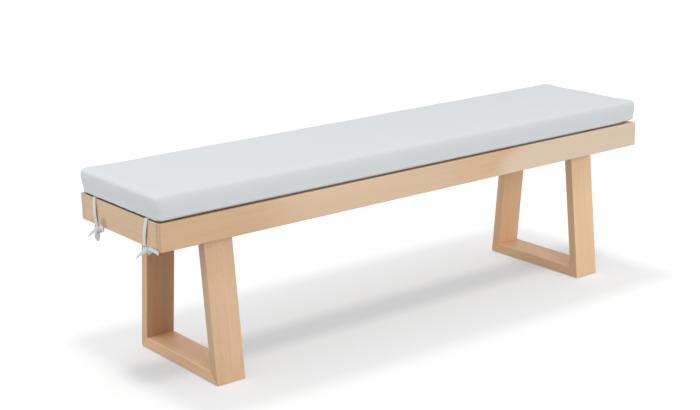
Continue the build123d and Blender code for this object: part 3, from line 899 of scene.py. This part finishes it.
def ribbon(name, points, side, widths, settings, steps=10):
    """A tape along a smooth path, its width in one direction and as a share of the full one at each point."""
    rows = steps * (len(points) - 1)
    deselect()
    bpy.ops.mesh.primitive_grid_add(x_subdivisions=rows, y_subdivisions=4, size=1)
    tape = new_piece(name)
    mesh = tape.data
    side = Vector(side).normalized()
    line = [along_path(points, row / rows) for row in range(rows + 1)]
    length = sum((b - a).length for a, b in zip(line, line[1:]))
    shares = [(vertex.co.x + 0.5, vertex.co.y) for vertex in mesh.vertices]
    for vertex, (share, aside) in zip(mesh.vertices, shares):
        width = settings.width * along_path([(value, 0, 0) for value in widths], share).x
        vertex.co = along_path(points, share) + side * width * aside
    for loop, spot in zip(mesh.loops, mesh.uv_layers.active.data):
        share, aside = shares[loop.vertex_index]
        spot.uv = (share * length, aside * settings.width)
    finish_with(tape, "SOLIDIFY", thickness=settings.thickness, offset=0)
    finish_with(
        tape, "BEVEL", width=0.3 * MM, segments=2, limit_method="ANGLE", angle_limit=math.radians(60))
    return tape


# The knots: their middle, in from the rail's face and below it, and their packed core
KNOT_INSET, KNOT_DROP = 5 * MM, 9 * MM
KNOT_SIZE = Vector((19, 25, 21)) * MM
KNOT_DENT, KNOT_CELLS = 1.2 * MM, 160


def knot_core(name, centre):
    """The packed middle of a knot: a small block, rounded and dented."""
    core = new_box(name, KNOT_SIZE, centre)
    finish_with(core, "SUBSURF", levels=3, render_levels=3)
    for vertex in core.data.vertices:
        dent = noise.noise((vertex.co - centre) * KNOT_CELLS)
        vertex.co += vertex.normal * dent * KNOT_DENT
    return core


def knot_turn(name, centre, radii, first, second, width, settings, count=8):
    """One oval turn of the tape round a knot, in the plane of two directions."""
    turns = [2 * math.pi * step / count for step in range(count + 1)]
    points = [
        centre + first * radii[0] * MM * math.cos(turn) + second * radii[1] * MM * math.sin(turn)
        for turn in turns]
    return ribbon(name, points, first.cross(second), [width] * len(points), settings, steps=5)


# Free ends of the ties. Each is a list of (outwards, across, up) steps in millimetres from the knot's middle,
# the direction in which its width lies and its share of the tape's full width along the way.
LEVEL_END = (
    ((-2, -4, 6), (-6, -18, 8), (-8, -37, 9), (-8, -57, 7)),
    (0.15, 0, 1),
    (0.55, 0.66, 0.68, 0.7))
EAR = (
    ((-1, -3, 5), (-5, -14, 8), (-6, -24, 7), (-4, -28, 4), (-1, -23, 1), (0, -12, 1), (0, -3, 2)),
    (0.15, 0, 1),
    (0.55, 0.85, 0.9, 0.9, 0.85, 0.75, 0.5))
FLAG = (
    ((-1, 4, -2), (-4, 15, -8), (-6, 29, -17), (-7, 43, -28)),
    (0.2, 0.3, 1),
    (0.65, 0.72, 0.55, 0.2))
LEVEL_FLAG = (
    ((-1, 4, -3), (-3, 16, -6), (-4, 30, -10), (-5, 42, -14)),
    (0.2, 0.3, 1),
    (0.5, 0.62, 0.52, 0.25))
DROP = (
    ((-2, 1, -5), (-4, 3, -12), (-4, 4, -21), (-3, 4, -30)),
    (0.79, -0.62, 0),
    (0.5, 0.95, 1.0, 0.35))


def turned_back(end):
    """A free end that points the other way across the bench."""
    steps, (side_x, side_y, side_z), widths = end
    return [(x, -y, z) for x, y, z in steps], (side_x, -side_y, side_z), widths


def tie_middle(node):
    """Where a tie hangs across the bench: the middle of its CAD solid above the rail's base."""
    spots = [vertex.co.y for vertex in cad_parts[node].data.vertices if vertex.co.z > rail_low.z]
    return (min(spots) + max(spots)) / 2


def left_tie(name, node, lean, ends, settings):
    """A tie of the left end: the tape round the rail, its knot below and its free ends, as one piece."""
    reach = settings.gap + settings.thickness / 2
    knot = Vector((rail_low.x + KNOT_INSET, tie_middle(node), rail_low.z - KNOT_DROP))
    y = knot.y
    face, back = rail_low.x - reach, rail_high.x + reach
    under = rail_low.z - reach
    top, foot = y + lean[0] * MM, y + lean[1] * MM
    outer = [
        (rail_low.x + 12 * MM, top, frame_top + 2.6 * MM),
        (rail_low.x + 6 * MM, top, frame_top + 1.2 * MM),
        (rail_low.x + MM, top, frame_top + reach),
        (face - 0.2 * MM, top, frame_top - 2 * MM),
        (face - settings.slack, (top + foot) / 2, (frame_top + under) / 2),
        (face - 0.6 * MM, foot, under + 5 * MM),
        (face + 1.6 * MM, foot, under - 1.5 * MM),
        (knot.x - MM, y, knot.z + 2 * MM),
    ]
    inner = [
        (knot.x + MM, y, knot.z + 2 * MM), (knot.x + 6 * MM, y, under - MM), (back - 4 * MM, y, under),
        (back, y, under + 3 * MM), (back, y, under + 25 * MM), (back, y, frame_top - 15 * MM),
        (back, y, frame_top),
    ]
    belt = Vector((0.9, 0.15, -0.35)).normalized()
    belt_rise = belt.cross(Vector((0.1, 1.0, 0.25))).normalized()
    band = Vector((0.8, 0.5, 0.1)).normalized()
    band_rise = Vector((-0.5, 0.8, 0.3)).normalized()
    pieces = [
        ribbon(name, outer, (0, 1, 0), (1, 1, 1, 1, 1, 0.95, 0.75, 0.5), settings),
        ribbon(name, inner, (0, 1, 0), (0.5, 0.8, 1, 1, 1, 1, 1), settings, steps=6),
        knot_core(name, knot),
        knot_turn(name, knot, (8.8, 9.6), belt, belt_rise, 0.85, settings),
        knot_turn(name, knot + Vector((0, 0, 1.5 * MM)), (9.2, 11), band, band_rise, 0.7, settings),
    ]
    for steps, side, widths in ends:
        points = [knot + Vector(step) * MM for step in steps]
        pieces.append(ribbon(name, points, side, widths, settings))
    tie = join(pieces)
    activate(tie)
    bpy.ops.object.shade_smooth_by_angle(angle=math.radians(40))
    return tie


def mirror_across(piece):
    """Moves a piece to the other end of the bench, as in a mirror."""
    piece.data.transform(Matrix.Scale(-1, 4, (1, 0, 0)))
    piece.data.flip_normals()


class BENCH_OT_knot_ties(Operator):
    """Models the four tapes that are knotted round the end rails"""
    bl_idname = "bench.knot_ties"
    bl_label = "Knot the ties"

    def execute(self, context):
        settings = context.scene.bench_ties
        material = tape_material(settings)
        front_ends = (LEVEL_END, FLAG)
        back_ends = (FLAG, DROP, EAR)
        hidden_ends = (turned_back(LEVEL_END), LEVEL_FLAG)
        # Each tie's place, the lean of its top and foot in millimetres, its free ends and if it is far
        ties = (
            ("left_front", (-8, 4), front_ends, False), ("left_back", (4, 0), back_ends, False),
            ("right_front", (0, 0), hidden_ends, True), ("right_back", (2, -2), back_ends, True))
        for place, lean, ends, far in ties:
            tie = left_tie(f"{place}_tape", place.replace("right", "left") + "_tie", lean, ends, settings)
            if far:
                mirror_across(tie)
            dress(tie, material)
            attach(tie, BODY)
            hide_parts(f"{place}_tie")
        return {"FINISHED"}


# Stitches

# The rows of stitches on the end panels: in from the sides, the base and the top, and their corners
STITCH_INSET, STITCH_BASE, STITCH_TOP, STITCH_CORNER = 11 * MM, 10 * MM, 12 * MM, 4 * MM
STITCH_RISE = 0.1 * MM


def seam_route():
    """The line of stitches on one end panel, as (across, up) from the middle of the cushion's base."""
    side, top = cover_half.y - STITCH_INSET, cover_height - STITCH_TOP
    return [
        (-side, STITCH_BASE), (-side, top - STITCH_CORNER), (-side + STITCH_CORNER, top),
        (side - STITCH_CORNER, top), (side, top - STITCH_CORNER), (side, STITCH_BASE)]


class BENCH_OT_sew_stitches(Operator):
    """Sews a row of stitches inside the seams of both end panels"""
    bl_idname = "bench.sew_stitches"
    bl_label = "Sew the stitches"

    def execute(self, context):
        settings = context.scene.bench_cushion
        cushion = bpy.data.objects["seat_cushion"]
        tree = BVHTree.FromObject(cushion, context.evaluated_depsgraph_get())
        thick = settings.stitch_thickness
        stitches = new_box("seam_stitches", (settings.stitch_length, thick, thick), (0, 0, 0))
        finish_with(stitches, "BEVEL", width=0.3 * thick, segments=1)
        pattern = stitches.data.copy()
        sewn = bmesh.new()
        route = seam_route()
        runs = [(end, start, stop) for end in (-1, 1) for start, stop in zip(route, route[1:])]
        for end, (y0, z0), (y1, z1) in runs:
            count = max(1, round(math.hypot(y1 - y0, z1 - z0) / settings.stitch_pitch))
            for step in range(count):
                share = (step + 0.5) / count
                start = Vector((
                    end * cover_half.x, y0 + (y1 - y0) * share, cover_low.z + z0 + (z1 - z0) * share))
                spot, normal, _, _ = tree.find_nearest(start)
                along = Vector((0, y1 - y0, z1 - z0)).normalized()
                along = (along - normal * along.dot(normal)).normalized()
                turn = Matrix((along, normal.cross(along), normal)).transposed().to_4x4()
                copy = pattern.copy()
                copy.transform(Matrix.Translation(spot + normal * STITCH_RISE) @ turn)
                sewn.from_mesh(copy)
                bpy.data.meshes.remove(copy)
        sewn.to_mesh(stitches.data)
        sewn.free()
        bpy.data.meshes.remove(pattern)
        dress(stitches, tape_material(context.scene.bench_ties))
        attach(stitches, BODY)
        return {"FINISHED"}


# Zip

# How far the folded welts reach past the zip's ends and behind its cloth
WELT_PAST, WELT_BEHIND = 4 * MM, 1.2 * MM

# The teeth: their rows' distance from the middle, how much they overlap there and how far in they are
ROW_SHIFT, TOOTH_OVERLAP, TOOTH_INSET, TOOTH_ROUND = 0.9 * MM, 0.6 * MM, 0.2 * MM, 0.3 * MM
TOOTH_SHARE = 0.48


def strip(name, low, high, round_edge):
    """A long flat strip between two corners with rounded edges."""
    bar = new_box(name, Vector(high) - Vector(low), (Vector(low) + Vector(high)) / 2)
    finish_with(bar, "BEVEL", width=round_edge, segments=3)
    return bar


def zip_cloth_material(settings):
    """The zip's own ribbed cloth, in a shade near the cover's."""
    cloth = Surface("zip_cloth")
    along, _, up = cloth.parts(cloth.place())
    ribs = cloth.times(cloth.wave(up, 1.1 * MM), cloth.wave(along, 0.6 * MM))
    height = cloth.plus(0.5, cloth.times(ribs, 0.5))
    cloth.finish({
        "Base Color": cloth.blend(height, shaded(settings.tape, 0.85), settings.tape),
        "Roughness": cloth.ramp(height, 0.0, 1.0, 0.9, 0.75)})
    cloth.bump(height, 0.3, 0.15 * MM)
    return cloth.material


def zip_plastic_material():
    """Moulded pale grey plastic of the zip's teeth."""
    colours = ((0.60, 0.63, 0.66), (0.68, 0.71, 0.74))
    plastic, _ = moulded_surface("zip_plastic", 1500.0, colours, (0.30, 0.45))
    return plastic.material


def zip_teeth(settings):
    """Both rows of teeth, meshed in the middle."""
    low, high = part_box("zip_chain")
    middle = (low + high) / 2
    pitch = settings.tooth_pitch
    size = (TOOTH_SHARE * pitch, high.y - low.y - TOOTH_INSET, (high.z - low.z) / 2 + TOOTH_OVERLAP)
    count = int((high.x - low.x - pitch) / pitch)
    rows = []
    for side, shift in ((1, 0.0), (-1, pitch / 2)):
        place = (low.x + pitch / 2 + shift, middle.y, middle.z + side * ROW_SHIFT)
        tooth = new_box("zip_teeth", size, place)
        finish_with(tooth, "BEVEL", width=TOOTH_ROUND, segments=1)
        finish_with(
            tooth, "ARRAY", count=count, use_relative_offset=False, use_constant_offset=True,
            constant_offset_displace=(pitch, 0, 0))
        rows.append(tooth)
    return join(rows)


class BENCH_OT_make_zip(Operator):
    """Models the zip's cloth, teeth and folded welts on the cushion's back edge"""
    bl_idname = "bench.make_zip"
    bl_label = "Make the zip"

    def execute(self, context):
        settings = context.scene.bench_zip
        low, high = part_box("zip_tape")
        middle = (low.z + high.z) / 2
        cloth = zip_cloth_material(settings)
        halves = (
            ("zip_tape_upper", middle + settings.slit / 2, high.z),
            ("zip_tape_lower", low.z, middle - settings.slit / 2))
        for name, bottom, top in halves:
            half = strip(name, (low.x, low.y, bottom), (high.x, high.y, top), 0.25 * MM)
            dress(half, cloth)
            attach(half, BODY)
            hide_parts("zip_tape")
        plastic = zip_plastic_material()
        dress(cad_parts["zip_stops"], plastic)
        teeth = zip_teeth(settings)
        dress(teeth, plastic)
        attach(teeth, BODY)
        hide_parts("zip_chain")
        fabric = bpy.data.materials["cushion_fabric"]
        for name, edge in (("zip_welt_upper", high.z), ("zip_welt_lower", low.z)):
            welt = strip(
                name, (low.x - WELT_PAST, low.y - WELT_BEHIND, edge - settings.welt_height / 2),
                (high.x + WELT_PAST, high.y + settings.welt_thickness, edge + settings.welt_height / 2),
                0.6 * settings.welt_thickness)
            activate(welt)
            bpy.ops.object.shade_smooth()
            dress(welt, fabric)
            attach(welt, BODY)
        return {"FINISHED"}


# Stage

# The two lamps above: where their light travels and how wide each looks, in degrees
OVERHEAD_TRAVELS = {"front_overhead_lamp": (0.03, 0.34, -1), "back_overhead_lamp": (0.03, -0.34, -1)}
OVERHEAD_SPREAD = 11

# The soft lamps: where they stand, how wide they are and what they are aimed at, in metres
SOFT_LAMPS = {
    "key": ((-0.7, -3.2, 1.55), 0.9),
    "back": ((-3.0, 1.2, 1.6), 1.5),
    "fill": ((3.0, -2.8, 1.5), 1.5),
}
LAMP_TARGET = Vector((0, 0, 0.3))

FLOOR_SIZE, FLOOR_DROP = 60, 0.2 * MM
SENSOR_WIDTH, VIEW_END = 36, 200
WHITE = (1, 1, 1)


def white_floor(settings):
    """A wide white floor that keeps the bench's soft shadow."""
    deselect()
    bpy.ops.mesh.primitive_plane_add(size=FLOOR_SIZE, location=(0, 0, -FLOOR_DROP))
    floor = new_piece("studio_floor")
    settle(floor)
    material = bpy.data.materials.new("studio_white")
    material.use_nodes = True
    nodes = Nodes(material.node_tree)
    seen = nodes.seen()
    tone = nodes.blend(seen, settings.floor_tone, settings.floor_white)
    matt = nodes.add("ShaderNodeBsdfDiffuse", {"Color": tone})
    glow = nodes.add("ShaderNodeEmission", {"Color": settings.floor_glow, "Strength": seen})
    both = nodes.add("ShaderNodeAddShader", {0: matt.outputs[0], 1: glow.outputs[0]})
    nodes.add("ShaderNodeOutputMaterial", {"Surface": both.outputs[0]})
    floor.data.materials.append(material)
    return floor


def studio_world(settings):
    """Even light from all round, with plain white behind the bench."""
    world = bpy.data.worlds.new("studio")
    bpy.context.scene.world = world
    world.use_nodes = True
    nodes = Nodes(world.node_tree)
    strength = nodes.pick(nodes.seen(), settings.ambient, 1.0)
    sky = nodes.add("ShaderNodeBackground", {"Color": WHITE, "Strength": strength})
    nodes.add("ShaderNodeOutputWorld", {"Surface": sky.outputs[0]})


def new_lamp(name, kind, place, aim, energy):
    """A lamp whose light travels along an aim."""
    deselect()
    bpy.ops.object.light_add(type=kind, location=place)
    lamp = bpy.context.active_object
    lamp.name = name
    lamp.rotation_euler = aim.to_track_quat("-Z", "Y").to_euler()
    lamp.data.energy = energy
    return lamp


def soft_lamp(name, power, place, size, floor):
    """A square soft lamp that is aimed at the bench and leaves the floor alone."""
    lamp = new_lamp(name, "AREA", place, LAMP_TARGET - Vector(place), power)
    lamp.data.size = size
    lit = bpy.data.collections.new(name + "_lights")
    lit.objects.link(floor)
    lit.collection_objects[0].light_linking.link_state = "EXCLUDE"
    lamp.light_linking.receiver_collection = lit


def camera_turn(settings):
    """The camera's turn from its yaw, pitch and roll."""
    yaw = Matrix.Rotation(-settings.camera_yaw, 3, "Z")
    pitch = Matrix.Rotation(QUARTER - settings.camera_pitch, 3, "X")
    roll = Matrix.Rotation(settings.camera_roll, 3, "Z")
    return (yaw @ pitch @ roll).to_euler()


class BENCH_OT_set_stage(Operator):
    """Sets the floor, the studio light and the camera"""
    bl_idname = "bench.set_stage"
    bl_label = "Set the stage"

    def execute(self, context):
        settings = context.scene.bench_stage
        context.scene.view_settings.view_transform = "Standard"
        floor = white_floor(settings)
        studio_world(settings)
        for name, travel in OVERHEAD_TRAVELS.items():
            aim = Vector(travel)
            lamp = new_lamp(name, "SUN", -3 * aim.normalized(), aim, settings.overhead)
            lamp.data.angle = math.radians(OVERHEAD_SPREAD)
        for name, (place, size) in SOFT_LAMPS.items():
            soft_lamp(f"{name}_lamp", getattr(settings, name), place, size, floor)
        deselect()
        bpy.ops.object.camera_add(location=settings.camera_place, rotation=camera_turn(settings))
        camera = bpy.context.active_object
        camera.name = "studio_camera"
        camera.data.lens = settings.lens
        camera.data.sensor_width = SENSOR_WIDTH
        camera.data.clip_end = VIEW_END
        context.scene.camera = camera
        return {"FINISHED"}


STEPS = (
    BENCH_OT_finish_wood, BENCH_OT_finish_hardware, BENCH_OT_make_cushion, BENCH_OT_sew_stitches,
    BENCH_OT_knot_ties, BENCH_OT_make_zip, BENCH_OT_set_stage,
)
SETTINGS = (
    ("bench_wood", BenchWoodSettings), ("bench_cushion", BenchCushionSettings),
    ("bench_ties", BenchTieSettings), ("bench_zip", BenchZipSettings), ("bench_stage", BenchStageSettings),
)


class BENCH_PT_dresser(Panel):
    """Lists the steps that dress the bench and the values that they use"""
    bl_idname = "BENCH_PT_dresser"
    bl_label = "Patio bench"
    bl_space_type = "VIEW_3D"
    bl_region_type = "UI"
    bl_category = "Bench"

    def draw(self, context):
        for step in STEPS:
            self.layout.operator(step.bl_idname)
        for name, group in SETTINGS:
            box = self.layout.box()
            box.label(text=group.__doc__)
            for key in group.__annotations__:
                box.prop(getattr(context.scene, name), key)


def register():
    """Registers the settings, the steps and the panel."""
    for name, group in SETTINGS:
        bpy.utils.register_class(group)
        setattr(bpy.types.Scene, name, PointerProperty(type=group))
    for step in (*STEPS, BENCH_PT_dresser):
        bpy.utils.register_class(step)


def unregister():
    """Takes the panel, the steps and the settings out again."""
    for step in (BENCH_PT_dresser, *reversed(STEPS)):
        bpy.utils.unregister_class(step)
    for name, group in reversed(SETTINGS):
        delattr(bpy.types.Scene, name)
        bpy.utils.unregister_class(group)


def main():
    """Dresses the bench step by step."""
    register()
    for step in STEPS:
        family, action = step.bl_idname.split(".")
        getattr(getattr(bpy.ops, family), action)()


if __name__ == "__main__":
    main()
